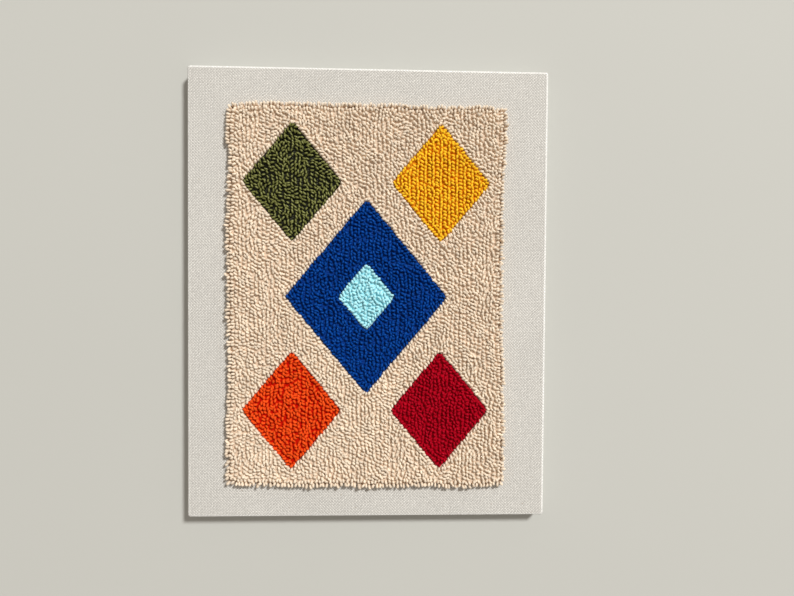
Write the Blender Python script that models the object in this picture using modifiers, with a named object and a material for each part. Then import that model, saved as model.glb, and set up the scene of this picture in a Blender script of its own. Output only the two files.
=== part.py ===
"""Punch needle wall piece: loop pile worked through linen that is stretched over four mitred wooden bars.

The piece lies on its back. X runs across the picture, Y up the picture and Z out of its face.
The origin is at the middle of the back, on the surface that the piece lies on. Metres throughout.
"""

import math

import bmesh
import bpy
from mathutils import Vector, noise

# Whole canvas, a standard 400 x 500 mm size
CANVAS_WIDTH = 0.400
CANVAS_HEIGHT = 0.500
CANVAS_DEPTH = 0.020
GAP = 0.0003  # clearance between any two pieces
WELD = 0.000001  # points nearer than this are the same

# Linen, folded over the bars and turned in at the back
LINEN_THICKNESS = 0.001
LINEN_TURN_IN = 0.026
LINEN_FRONT_RADIUS = 0.003
LINEN_CORNER_RADIUS = 0.003
LINEN_BACK_RADIUS = 0.0016

# Wooden stretcher bars
BAR_WIDTH = 0.038
BAR_FRONT_FALL = 0.0035  # the front slopes away from the linen by this much
BAR_EDGE_RADIUS = 0.0017
MITRE_TIP = 0.0014  # the sharp tip of each mitre is blunted by this much

# Loop pile
PILE_HEIGHT = 0.0080
LOOP_PITCH = 0.0044
LUMP_PITCH = 2 * LOOP_PITCH  # one lump of the solid stands for two loops each way
LUMP_HEIGHT = 0.0009
LUMP_SPREAD = 0.013  # size of the swells in the pile's height
RIM_BULGE_HEIGHT = 0.0045  # the outermost loops lean out furthest at this height
RIM_ROOT_INSET = 0.0022
RIM_SHOULDER = 0.0032  # the rim rounds over within this width
RIM_RAGGED = 0.0016
RIM_RAGGED_SPREAD = 0.0031
RIM_CORNER_SHARE = 0.6  # the four corners of the pile are a little rounded

# Where the pile's side edges lie, from the canvas's middle, at a few heights up the picture
SIDE_EDGES = (
    {"up": -0.216, "left": -0.1570, "right": 0.1540},
    {"up": -0.155, "left": -0.1575, "right": 0.1540},
    {"up": -0.090, "left": -0.1550, "right": 0.1530},
    {"up": -0.030, "left": -0.1565, "right": 0.1505},
    {"up": 0.065, "left": -0.1580, "right": 0.1505},
    {"up": 0.140, "left": -0.1545, "right": 0.1515},
    {"up": 0.185, "left": -0.1575, "right": 0.1540},
    {"up": 0.210, "left": -0.1560, "right": 0.1525},
)
# Where its lower and upper edges lie, at a few places across the picture
END_EDGES = (
    {"across": -0.158, "bottom": -0.2130, "top": 0.2090},
    {"across": -0.110, "bottom": -0.2155, "top": 0.2105},
    {"across": -0.065, "bottom": -0.2165, "top": 0.2110},
    {"across": -0.025, "bottom": -0.2150, "top": 0.2090},
    {"across": 0.015, "bottom": -0.2170, "top": 0.2110},
    {"across": 0.060, "bottom": -0.2155, "top": 0.2092},
    {"across": 0.110, "bottom": -0.2175, "top": 0.2100},
    {"across": 0.154, "bottom": -0.2145, "top": 0.2088},
)

WOOD = {"colour": (0.72, 0.55, 0.36), "roughness": 0.62}
LINEN = {"colour": (0.74, 0.71, 0.68), "roughness": 0.90}
YARN_ROUGHNESS = 0.92
YARN_COLOURS = {
    "cream": (0.80, 0.66, 0.50),
    "olive": (0.105, 0.135, 0.040),
    "amber": (0.86, 0.43, 0.020),
    "royal_blue": (0.006, 0.055, 0.270),
    "pale_blue": (0.36, 0.68, 0.76),
    "vermilion": (0.76, 0.080, 0.010),
    "crimson": (0.43, 0.008, 0.020),
}

# Coloured diamonds: one large in the middle, a small one set in it, and one towards each corner.
# The reach of each is half its width.
MIDDLE = Vector((-0.0025, -0.0030))
ACROSS = Vector((0.082, 0.0))
UP = Vector((0.0, 0.126))
CORNER_REACH = 0.055
DIAMONDS = (
    {"colour": "royal_blue", "centre": MIDDLE, "reach": 0.090, "set_in": "cream"},
    {"colour": "pale_blue", "centre": MIDDLE, "reach": 0.032, "set_in": "royal_blue"},
    {"colour": "olive", "centre": MIDDLE - ACROSS + UP, "reach": CORNER_REACH, "set_in": "cream"},
    {"colour": "amber", "centre": MIDDLE + ACROSS + UP, "reach": CORNER_REACH, "set_in": "cream"},
    {"colour": "vermilion", "centre": MIDDLE - ACROSS - UP, "reach": CORNER_REACH, "set_in": "cream"},
    {"colour": "crimson", "centre": MIDDLE + ACROSS - UP, "reach": CORNER_REACH, "set_in": "cream"},
)
DIAMOND_STEEPNESS = 1.2  # half height over half width, the same for all
DIAMOND_TIP = 0.0035  # a tip is as blunt as one loop
CUTTER_DEPTH = 0.050


def clear_scene():
    """Remove whatever the scene starts with."""
    for old in list(bpy.data.objects):
        bpy.data.objects.remove(old)


def collection_named(name):
    """A new collection in the scene."""
    made = bpy.data.collections.new(name)
    bpy.context.scene.collection.children.link(made)
    return made


def material_of(name, finish):
    """A plain Principled material with one of the finishes above."""
    material = bpy.data.materials.new(name)
    material.use_nodes = True
    shader = material.node_tree.nodes["Principled BSDF"]
    shader.inputs["Base Color"].default_value = (*finish["colour"], 1.0)
    shader.inputs["Roughness"].default_value = finish["roughness"]
    shader.inputs["Metallic"].default_value = 0.0
    return material


def object_from(bm, name, collection, material=None):
    """Turn a bmesh into a named object and free the bmesh."""
    mesh = bpy.data.meshes.new(name)
    bm.to_mesh(mesh)
    bm.free()
    if material:
        mesh.materials.append(material)
    made = bpy.data.objects.new(name, mesh)
    collection.objects.link(made)
    return made


def cutter_from(bm, name, collection):
    """An object that only cuts others, drawn as wire and left out of the build."""
    made = object_from(bm, name, collection)
    made.hide_render = True
    made.display_type = "WIRE"
    return made


def add_boolean(target, cutter, operation):
    """Cut target by cutter with an exact Boolean."""
    cut = target.modifiers.new(cutter.name, "BOOLEAN")
    cut.operation = operation
    cut.object = cutter
    return cut


def eased(rows, at, place, value):
    """The value of a table's column at a place, easing smoothly from row to row."""
    if at <= rows[0][place]:
        return rows[0][value]
    for low, high in zip(rows, rows[1:]):
        if at <= high[place]:
            share = (at - low[place]) / (high[place] - low[place])
            share = share * share * (3 - 2 * share)
            return low[value] + share * (high[value] - low[value])
    return rows[-1][value]


def make_linen(collection):
    """One sheet of linen: the face, the four sides and the turn-in round the back."""
    bm = bmesh.new()
    bmesh.ops.create_cube(bm, size=1.0)
    bmesh.ops.scale(bm, vec=(CANVAS_WIDTH, CANVAS_HEIGHT, CANVAS_DEPTH), verts=bm.verts)
    bmesh.ops.translate(bm, vec=(0, 0, CANVAS_DEPTH / 2), verts=bm.verts)

    def round_off(edges, radius):
        """Round off some edges."""
        bmesh.ops.bevel(bm, geom=edges, offset=radius, segments=3, profile=0.5, affect="EDGES")

    def heights(edge):
        """The lower and the upper height of an edge's two ends."""
        return sorted(vert.co.z for vert in edge.verts)

    upright = [edge for edge in bm.edges if heights(edge)[1] - heights(edge)[0] > CANVAS_DEPTH / 2]
    round_off(upright, LINEN_CORNER_RADIUS)

    back = next(face for face in bm.faces if face.normal.z < -0.5)
    bmesh.ops.delete(bm, geom=[back], context="FACES_ONLY")
    back_edge = [edge for edge in bm.edges if edge.is_boundary]
    turned_in = bmesh.ops.extrude_edge_only(bm, edges=back_edge)["geom"]
    inner = [item for item in turned_in if isinstance(item, bmesh.types.BMVert)]
    for vert in inner:
        vert.co.x = math.copysign(CANVAS_WIDTH / 2 - LINEN_TURN_IN, vert.co.x)
        vert.co.y = math.copysign(CANVAS_HEIGHT / 2 - LINEN_TURN_IN, vert.co.y)
    bmesh.ops.remove_doubles(bm, verts=inner, dist=WELD)
    bmesh.ops.recalc_face_normals(bm, faces=bm.faces)

    face_edge = [edge for edge in bm.edges if heights(edge)[0] > CANVAS_DEPTH - WELD]
    round_off(face_edge, LINEN_FRONT_RADIUS)
    folds = [
        edge
        for edge in bm.edges
        if heights(edge)[1] < WELD and any(face.normal.z > -0.5 for face in edge.link_faces)
    ]
    round_off(folds, LINEN_BACK_RADIUS)

    linen = object_from(bm, "linen_canvas", collection, material_of("linen", LINEN))
    shell = linen.modifiers.new("thickness", "SOLIDIFY")
    shell.thickness = LINEN_THICKNESS
    shell.offset = -1.0
    shell.use_even_offset = True
    shell.use_rim = True
    return linen


def make_bar(name, length, distance, turns, collection, material):
    """One mitred bar, its outer side along +Y before it is turned into place about the middle.

    The length and the distance from the middle are the canvas's own, outside the linen.
    """
    inside = LINEN_THICKNESS + GAP
    reach = distance - inside
    depth = CANVAS_DEPTH - 2 * inside
    half_long = length / 2 - inside - GAP  # the mitres stand a gap apart
    half_short = half_long - BAR_WIDTH
    bm = bmesh.new()
    bmesh.ops.create_cube(bm, size=1.0)
    for vert in bm.verts:
        outer = vert.co.y > 0
        front = vert.co.z > 0
        half = half_long if outer else half_short
        fall = 0.0 if outer else BAR_FRONT_FALL
        vert.co.x = math.copysign(half, vert.co.x)
        vert.co.y = reach - (0.0 if outer else BAR_WIDTH)
        vert.co.z = inside + (depth - fall if front else 0.0)

    def near_outside(edge):
        """Whether both ends of an edge are at the bar's outer side."""
        return all(vert.co.y > reach - 2 * MITRE_TIP for vert in edge.verts)

    def rise(edge):
        """How far one end of an edge stands above the other."""
        return abs(edge.verts[0].co.z - edge.verts[1].co.z)

    def mitred(face):
        """Whether a face is one of the bar's two mitred ends."""
        return face.normal.y < -0.5 and abs(face.normal.x) > 0.5

    tips = [edge for edge in bm.edges if near_outside(edge) and rise(edge) > depth / 2]
    bmesh.ops.bevel(bm, geom=tips, offset=MITRE_TIP, segments=1, profile=0.5, affect="EDGES")
    bm.normal_update()
    front_edge = [
        edge
        for edge in bm.edges
        if near_outside(edge)
        and rise(edge) < WELD
        and edge.verts[0].co.z > inside + depth / 2
        and not any(mitred(face) for face in edge.link_faces)
    ]
    bmesh.ops.bevel(
        bm, geom=front_edge, offset=BAR_EDGE_RADIUS, segments=3, profile=0.5, affect="EDGES"
    )
    bar = object_from(bm, name, collection, material)
    bar.rotation_euler.z = 2 * math.pi * turns
    return bar


def make_stretcher(collection):
    """The four bars of the stretcher frame."""
    wood = material_of("stretcher_wood", WOOD)
    across, up = CANVAS_WIDTH / 2, CANVAS_HEIGHT / 2
    make_bar("stretcher_bar_top", CANVAS_WIDTH, up, 0, collection, wood)
    make_bar("stretcher_bar_left", CANVAS_HEIGHT, across, 1 / 4, collection, wood)
    make_bar("stretcher_bar_bottom", CANVAS_WIDTH, up, 1 / 2, collection, wood)
    make_bar("stretcher_bar_right", CANVAS_HEIGHT, across, 3 / 4, collection, wood)


def end_of(step, last):
    """-1 or +1 where a grid step is the first or the last of its line, else 0."""
    return (step == last) - (step == 0)


def share_of(step, last):
    """How far along its line a grid step lies, from 0 to 1, the rim's own steps left out."""
    return min(max((step - 1) / (last - 2), 0.0), 1.0)


def pile_point(column, row, columns, rows):
    """Where a grid point of the pile's upper side lies, above the pile's own underside."""
    low, high = SIDE_EDGES[0]["up"], SIDE_EDGES[-1]["up"]
    up_level = low + share_of(row, rows) * (high - low)
    left = eased(SIDE_EDGES, up_level, "up", "left") + RIM_SHOULDER
    right = eased(SIDE_EDGES, up_level, "up", "right") - RIM_SHOULDER
    across = left + share_of(column, columns) * (right - left)
    bottom = eased(END_EDGES, across, "across", "bottom") + RIM_SHOULDER
    top = eased(END_EDGES, across, "across", "top") - RIM_SHOULDER
    up = bottom + share_of(row, rows) * (top - bottom)
    swell = LUMP_HEIGHT * noise.noise(Vector((across, up, 0.0)) / LUMP_SPREAD)
    sideways, endways = end_of(column, columns), end_of(row, rows)
    if not sideways and not endways:
        return Vector((across, up, PILE_HEIGHT + swell))
    out = RIM_SHOULDER + RIM_RAGGED * noise.noise(Vector((across, up, 0.0)) / RIM_RAGGED_SPREAD)
    if sideways and endways:
        out *= RIM_CORNER_SHARE
    return Vector((across + sideways * out, up + endways * out, RIM_BULGE_HEIGHT + swell))


def make_pile_slab():
    """The whole pile as one closed lumpy slab, standing a gap above the linen."""
    columns = round((END_EDGES[-1]["across"] - END_EDGES[0]["across"]) / LUMP_PITCH) + 2
    rows = round((SIDE_EDGES[-1]["up"] - SIDE_EDGES[0]["up"]) / LUMP_PITCH) + 2
    base = CANVAS_DEPTH + GAP
    bm = bmesh.new()
    bmesh.ops.create_grid(bm, x_segments=columns, y_segments=rows, size=0.5)
    root_of = {}
    for vert in bm.verts:
        column = round((vert.co.x + 0.5) * columns)
        row = round((vert.co.y + 0.5) * rows)
        vert.co = pile_point(column, row, columns, rows)
        inward = Vector((end_of(column, columns), end_of(row, rows), 0.0)) * -RIM_ROOT_INSET
        root_of[vert.co.to_tuple()] = Vector((vert.co.x, vert.co.y, 0.0)) + inward
    rim = [edge for edge in bm.edges if edge.is_boundary]
    for item in bmesh.ops.extrude_edge_only(bm, edges=rim)["geom"]:
        if isinstance(item, bmesh.types.BMVert):
            item.co = root_of[item.co.to_tuple()]
    underside = [edge for edge in bm.edges if edge.is_boundary]
    bmesh.ops.contextual_create(bm, geom=underside)
    bmesh.ops.recalc_face_normals(bm, faces=bm.faces)
    bmesh.ops.translate(bm, vec=(0, 0, base), verts=bm.verts)
    return bm


def diamond_prism(centre, half_width, grown_by):
    """A prism over one diamond, with blunt tips, grown or shrunk square to its sides."""
    half_height = half_width * DIAMOND_STEEPNESS
    side = math.hypot(half_width, half_height)
    bm = bmesh.new()
    bmesh.ops.create_cone(bm, cap_ends=True, segments=4, radius1=1, radius2=1, depth=CUTTER_DEPTH)
    wide = half_width + grown_by * side / half_height
    tall = half_height + grown_by * side / half_width
    bmesh.ops.scale(bm, vec=(wide, tall, 1.0), verts=bm.verts)
    upright = [edge for edge in bm.edges if edge.verts[0].co.z * edge.verts[1].co.z < 0]
    bmesh.ops.bevel(bm, geom=upright, offset=DIAMOND_TIP, segments=2, profile=0.5, affect="EDGES")
    across, up = centre
    bmesh.ops.translate(bm, vec=(across, up, CANVAS_DEPTH), verts=bm.verts)
    return bm


def make_pile(collection, cutters):
    """The cream ground and the six coloured diamonds let into it."""
    slab = make_pile_slab()

    def uncut(name, colour):
        """The whole slab in one yarn, before it is cut to its shape."""
        finish = {"colour": YARN_COLOURS[colour], "roughness": YARN_ROUGHNESS}
        return object_from(slab.copy(), name, collection, material_of(f"{colour}_yarn", finish))

    patches = {"cream": uncut("pile_cream_ground", "cream")}
    for diamond in DIAMONDS:
        colour = diamond["colour"]
        place = (diamond["centre"], diamond["reach"])
        hole = cutter_from(diamond_prism(*place, GAP / 2), f"hole_for_{colour}", cutters)
        outline = cutter_from(diamond_prism(*place, -GAP / 2), f"outline_of_{colour}", cutters)
        add_boolean(patches[diamond["set_in"]], hole, "DIFFERENCE")
        patches[colour] = uncut(f"pile_{colour}_diamond", colour)
        add_boolean(patches[colour], outline, "INTERSECT")
    slab.free()


def main():
    """Build the whole piece."""
    clear_scene()
    parts = collection_named("punch_needle_wall_piece")
    cutters = collection_named("cutters")
    make_linen(parts)
    make_stretcher(parts)
    make_pile(parts, cutters)


main()
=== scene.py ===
"""Dresses the punch needle wall piece: yarn loops, stretched linen, wooden bars, camera and light.

The piece lies on its back. X runs across the picture, Y up the picture and Z out of its face, in metres.
Places come from the solids of the frame and from the sizes held by the classes below.
"""

import enum
import logging
import math
from abc import ABC, abstractmethod
from collections import defaultdict
from dataclasses import dataclass, field
from typing import Sequence

import bmesh
import bpy
import numpy as np
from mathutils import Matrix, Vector, geometry, kdtree, noise


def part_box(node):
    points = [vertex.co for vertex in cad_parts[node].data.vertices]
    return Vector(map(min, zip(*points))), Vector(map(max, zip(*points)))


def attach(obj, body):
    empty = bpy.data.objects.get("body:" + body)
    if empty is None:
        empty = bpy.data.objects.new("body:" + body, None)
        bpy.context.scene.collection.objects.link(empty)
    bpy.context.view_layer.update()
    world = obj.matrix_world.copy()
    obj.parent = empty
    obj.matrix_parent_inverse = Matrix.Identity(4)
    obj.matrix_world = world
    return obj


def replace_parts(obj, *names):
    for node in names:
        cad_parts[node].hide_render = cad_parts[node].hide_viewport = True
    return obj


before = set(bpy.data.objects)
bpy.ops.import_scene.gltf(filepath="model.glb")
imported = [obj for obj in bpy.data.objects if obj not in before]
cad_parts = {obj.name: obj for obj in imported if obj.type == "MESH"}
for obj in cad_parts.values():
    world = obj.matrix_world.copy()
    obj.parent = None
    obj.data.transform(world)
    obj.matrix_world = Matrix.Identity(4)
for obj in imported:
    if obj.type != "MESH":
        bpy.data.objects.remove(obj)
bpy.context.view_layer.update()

log = logging.getLogger("wall_piece")

Colour = tuple[float, float, float]
Socket = bpy.types.NodeSocket
MM = 0.001
BODY = "root"
FLAT_FACES_LEAD = 100  # the weight that lets large flat faces set the shading beside a fold


class Grain(enum.Enum):
    """The axis that a bar's grain runs along."""

    ACROSS = "across"
    UP = "up"


# Meshes and objects


def meshed(bm: bmesh.types.BMesh, name: str) -> bpy.types.Mesh:
    """Make a mesh of what was built.

    Args:
        bm: what was built, which is freed.
        name: the mesh's name.

    Returns:
        The mesh.
    """
    mesh = bpy.data.meshes.new(name)
    bm.to_mesh(mesh)
    bm.free()
    return mesh


def mark(mesh: bpy.types.Mesh, name: str, values: np.ndarray) -> None:
    """Give every point of a mesh a number that its material reads by name."""
    made = mesh.attributes.new(name, "FLOAT", "POINT")
    made.data.foreach_set("value", values.astype(np.float32))


def added(name: str, data: bpy.types.ID) -> bpy.types.Object:
    """Add an object to the scene.

    Args:
        name: its name.
        data: its mesh, camera or light.

    Returns:
        The object.
    """
    thing = bpy.data.objects.new(name, data)
    bpy.context.scene.collection.objects.link(thing)
    return thing


# Shader building


class Wire:
    """A value on its way through a node tree. Each sign that it is used with adds a Math node."""

    def __init__(self, graph: "Graph", socket: Socket) -> None:
        """Hold an output and the graph that it is in."""
        self.graph, self.socket = graph, socket

    def __add__(self, other: "Value") -> "Wire":
        """The sum."""
        return self.graph.maths("ADD", self, other)

    def __radd__(self, other: "Value") -> "Wire":
        """The sum, with a number in front."""
        return self.graph.maths("ADD", other, self)

    def __sub__(self, other: "Value") -> "Wire":
        """The difference."""
        return self.graph.maths("SUBTRACT", self, other)

    def __rsub__(self, other: "Value") -> "Wire":
        """The difference from a number."""
        return self.graph.maths("SUBTRACT", other, self)

    def __mul__(self, other: "Value") -> "Wire":
        """The product."""
        return self.graph.maths("MULTIPLY", self, other)

    def __truediv__(self, other: "Value") -> "Wire":
        """The quotient."""
        return self.graph.maths("DIVIDE", self, other)

    def __rtruediv__(self, other: "Value") -> "Wire":
        """A number divided by this value."""
        return self.graph.maths("DIVIDE", other, self)


Value = Wire | float | Sequence[float]
Wires = dict[str, Wire]


class Graph:
    """Adds and links the nodes of one material or node group."""

    COLOUR_MIX = (0, 6, 7)  # the places of a Mix node's share and of its two colours
    MIXED_COLOUR = 2

    def __init__(self, tree: bpy.types.NodeTree) -> None:
        """Start with an empty tree."""
        self.tree = tree
        self.tree.nodes.clear()

    def add(self, kind: str, **settings: object) -> bpy.types.Node:
        """Add a node.

        Args:
            kind: its type's name.
            settings: the properties to set on it.

        Returns:
            The new node.
        """
        node = self.tree.nodes.new(kind)
        for setting, value in settings.items():
            setattr(node, setting, value)
        return node

    def feed(self, socket: Socket, value: Value) -> None:
        """Link an input to another node's output, or set its value.

        Args:
            socket: the input.
            value: a wire, a number or a row of numbers. A colour is a row of three.
        """
        if isinstance(value, Wire):
            self.tree.links.new(value.socket, socket)
        else:
            socket.default_value = (*value, 1.0) if socket.type == "RGBA" else value

    def through(
        self, kind: str, inputs: dict[str | int, Value], output: str | int = 0, **settings: object
    ) -> Wire:
        """Add a node, feed it and take one of its outputs.

        Args:
            kind: its type's name.
            inputs: what its inputs get, by name or by place.
            output: the name or place of the output.
            settings: the properties to set on it.

        Returns:
            The output.
        """
        node = self.add(kind, **settings)
        for key, value in inputs.items():
            self.feed(node.inputs[key], value)
        return Wire(self, node.outputs[output])

    def maths(self, operation: str, *values: Value) -> Wire:
        """The result of a Math node."""
        return self.through("ShaderNodeMath", dict(enumerate(values)), operation=operation)

    def vectors(self, operation: str, *values: Value) -> Wire:
        """The vector that a Vector Math node gives."""
        return self.through("ShaderNodeVectorMath", dict(enumerate(values)), "Vector", operation=operation)

    def split(self, vector: Wire) -> list[Wire]:
        """The three parts of a vector."""
        parted = self.through("ShaderNodeSeparateXYZ", {0: vector}).socket.node
        return [Wire(self, output) for output in parted.outputs]

    def joined(self, x: Value, y: Value, z: Value = 0.0) -> Wire:
        """A vector made of three parts."""
        return self.through("ShaderNodeCombineXYZ", {0: x, 1: y, 2: z})

    def mixed(self, share: Value, first: Value, second: Value) -> Wire:
        """A mix of two colours, by how much of the second is in it."""
        inputs = dict(zip(self.COLOUR_MIX, (share, first, second)))
        return self.through("ShaderNodeMix", inputs, self.MIXED_COLOUR, data_type="RGBA")

    def toned(self, colour: Value, tone: Value) -> Wire:
        """A colour made lighter or darker by a factor."""
        inputs = {"Vector": colour, "Scale": tone}
        return self.through("ShaderNodeVectorMath", inputs, "Vector", operation="SCALE")

    def noise(self, place: Value, scale: Value, detail: float = 2.0, rough: float = 0.5) -> Wire:
        """A 3D noise, about 0 to 1. Detail counts its finer layers and rough is their strength."""
        inputs = {"Vector": place, "Scale": scale, "Detail": detail, "Roughness": rough}
        return self.through("ShaderNodeTexNoise", inputs, "Fac", noise_dimensions="3D")

    def ranged(self, value: Value, source: tuple[float, float], result: tuple[float, float]) -> Wire:
        """A value eased from one range to another."""
        inputs = dict(enumerate((value, *source, *result)))
        return self.through("ShaderNodeMapRange", inputs, "Result", interpolation_type="SMOOTHSTEP")

    def bumped(self, height: Wire, distance: float) -> Wire:
        """The normal of a relief whose 1 is so many metres high."""
        return self.through("ShaderNodeBump", {"Distance": distance, "Height": height}, "Normal")

    def attribute(self, name: str) -> Wire:
        """A number that the mesh holds at its points."""
        return self.through("ShaderNodeAttribute", {}, "Fac", attribute_name=name)

    def mapped(self, name: str) -> Wire:
        """The place on one of the mesh's maps."""
        return self.through("ShaderNodeUVMap", {}, "UV", uv_map=name)

    def place(self) -> Wire:
        """The place in the object, in metres."""
        return self.through("ShaderNodeTexCoord", {}, "Object")


class Effect(ABC):
    """A shader node group that materials place with their own values."""

    name: str
    inputs: dict[str, float | None]  # each number's usual value, or None for a vector
    outputs: tuple[str, ...]

    def __init__(self) -> None:
        """Build the group once."""
        self.tree = bpy.data.node_groups.new(self.name, "ShaderNodeTree")
        sockets = self.tree.interface.new_socket
        for name, usual in self.inputs.items():
            kind = "NodeSocketVector" if usual is None else "NodeSocketFloat"
            socket = sockets(name=name, in_out="INPUT", socket_type=kind)
            if usual is not None:
                socket.default_value = usual
        for name in self.outputs:
            sockets(name=name, in_out="OUTPUT", socket_type="NodeSocketFloat")
        graph = Graph(self.tree)
        entry, result = graph.add("NodeGroupInput"), graph.add("NodeGroupOutput")
        made = self.wire(graph, {name: Wire(graph, entry.outputs[name]) for name in self.inputs})
        for name, value in zip(self.outputs, made):
            graph.feed(result.inputs[name], value)

    @abstractmethod
    def wire(self, graph: Graph, given: Wires) -> tuple[Wire, ...]:
        """Wire the group's inputs, given by name, and return its outputs in their order."""

    def placed(self, graph: Graph, **values: Value) -> Wires:
        """Place the group in a material.

        Args:
            graph: the material's graph.
            values: what its inputs get, by name.

        Returns:
            The placed group's outputs, by name.
        """
        node = graph.add("ShaderNodeGroup", node_tree=self.tree)
        for name, value in values.items():
            graph.feed(node.inputs[name], value)
        return {name: Wire(graph, node.outputs[name]) for name in self.outputs}


class YarnTwist(Effect):
    """Plies that wind round a yarn, and the fine fibres along them."""

    name = "yarn_twist"
    inputs = {"Along": 0.0, "Around": 0.0, "Plies": 3.0, "Lay": 0.009, "Hair": 0.35}
    outputs = ("Height", "Groove")
    FIBRES_ALONG = 260.0
    FIBRES_ACROSS = 7.0
    PLY_ROUNDNESS = 0.6  # the power that makes a ply's ridge round
    GROOVE = (0.0, 0.55)  # the heights on a ridge between which a groove fades

    def wire(self, graph: Graph, given: Wires) -> tuple[Wire, ...]:
        """Wire rounded ridges along a helix, roughened by fibres that follow it.

        Args:
            graph: the group's graph.
            given: the group's inputs, by name.

        Returns:
            The relief and where the grooves are.
        """
        phase = given["Around"] * given["Plies"] + given["Along"] / given["Lay"]
        ridge = graph.maths("ABSOLUTE", graph.maths("SINE", phase * math.pi))
        fibre_place = graph.joined(given["Along"] * self.FIBRES_ALONG, phase * self.FIBRES_ACROSS)
        hair = (graph.noise(fibre_place, 1.0, detail=3.0, rough=0.65) - 0.5) * given["Hair"]
        height = graph.maths("POWER", ridge, self.PLY_ROUNDNESS) + hair
        return height, graph.ranged(ridge, self.GROOVE, (1.0, 0.0))


class Mottle(Effect):
    """A soft unevenness of tone."""

    name = "mottle"
    inputs = {"Place": None, "Size": 0.03, "Strength": 0.1}
    outputs = ("Tone",)

    def wire(self, graph: Graph, given: Wires) -> tuple[Wire, ...]:
        """Wire a tone about 1 that follows a soft noise."""
        cloud = graph.noise(given["Place"], 1.0 / given["Size"], detail=3.0)
        return (1.0 + (cloud - 0.5) * given["Strength"] * 2.0,)


class PlainWeave(Effect):
    """Plain weave of uneven threads, with slubs, whose two ways get a different painted light and shade."""

    name = "plain_weave"
    inputs = {"Place": None, "Pitch": 0.0012, "Slub": 0.3, "Check": 0.1, "Hatch": 0.1}
    outputs = ("Height", "Tone", "Gap")
    SLUB_LENGTH = 0.006
    PULLS = 60.0  # swells to a metre in how the cloth is pulled
    PULLED = (0.42, 0.58)  # the values of those swells between which the other diagonal takes over
    WAVERS = 120.0  # swells to a metre in how a thread wanders
    WAVER_REACH = 0.0024
    WAVER_UP = -0.7  # how far threads wander up the cloth, as a share of how far they do across
    THREADS_APART = 3.7  # how far apart in the noise two neighbouring threads are read
    WEFT_APART = 5000.0  # added to a weft thread's number, so that it isn't read as a warp thread
    GAP = (0.18, 0.42)  # the heights on a thread between which the gap beside it fades

    def wire(self, graph: Graph, given: Wires) -> tuple[Wire, ...]:
        """Wire threads that pass over and under each other, each with a tone of its own.

        Args:
            graph: the group's graph.
            given: the group's inputs, by name.

        Returns:
            The relief, the tone and where the gaps are.
        """
        place, pitch = given["Place"], given["Pitch"]
        shift = (graph.noise(place, self.WAVERS, detail=2.0, rough=0.6) - 0.5) * self.WAVER_REACH
        bent = graph.vectors("ADD", place, graph.joined(shift, shift * self.WAVER_UP))
        x, y, _ = graph.split(graph.vectors("DIVIDE", bent, graph.joined(pitch, pitch, 1.0)))
        column, row = (graph.maths("FLOOR", part) for part in (x, y))
        over_x, over_y = (
            graph.maths("COSINE", (graph.maths("FRACT", part) - 0.5) * math.pi) for part in (x, y)
        )
        odd = graph.maths("ROUND", graph.maths("PINGPONG", column + row, 1.0))
        sign = 1.0 - odd * 2.0
        warp = over_x * (sign * over_y * 0.5 + 0.5)
        weft = over_y * (sign * over_x * -0.5 + 0.5)
        is_weft = graph.maths("GREATER_THAN", weft, warp)
        warp_slub = self.slub(graph, column, y * pitch)
        weft_slub = self.slub(graph, row + self.WEFT_APART, x * pitch)
        chosen = is_weft * weft_slub + (1.0 - is_weft) * warp_slub
        height = graph.maths("MAXIMUM", warp, weft)
        swing = (chosen - 0.5) * given["Slub"]
        hatch = self.hatch(graph, x, y, place) * given["Hatch"]
        # painted light and shade: by the Check share, warp threads are painted lighter and weft threads
        # darker
        tone = 1.0 + (0.5 - is_weft) * given["Check"] + swing + hatch
        return height + swing, tone, graph.ranged(height, self.GAP, (1.0, 0.0))

    def hatch(self, graph: Graph, x: Wire, y: Wire, place: Wire) -> Wire:
        """Slanting lines where the cloth is pulled and one diagonal of the weave stands out.

        Args:
            graph: the graph to build in.
            x: the place across, in threads.
            y: the place up, in threads.
            place: the place on the cloth, in metres.

        Returns:
            The lines, from -1 to 1.
        """
        rising, falling = (graph.maths("COSINE", slant * math.pi) for slant in (x + y, x - y))
        share = graph.ranged(graph.noise(place, self.PULLS, detail=2.0), self.PULLED, (0.0, 1.0))
        return falling * (1.0 - share) - rising * share

    def slub(self, graph: Graph, thread: Wire, along: Wire) -> Wire:
        """How thick a thread of some number is so many metres along it, about 0 to 1."""
        place = graph.joined(along / self.SLUB_LENGTH, thread * self.THREADS_APART)
        return graph.noise(place, 1.0, detail=2.0)


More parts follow.
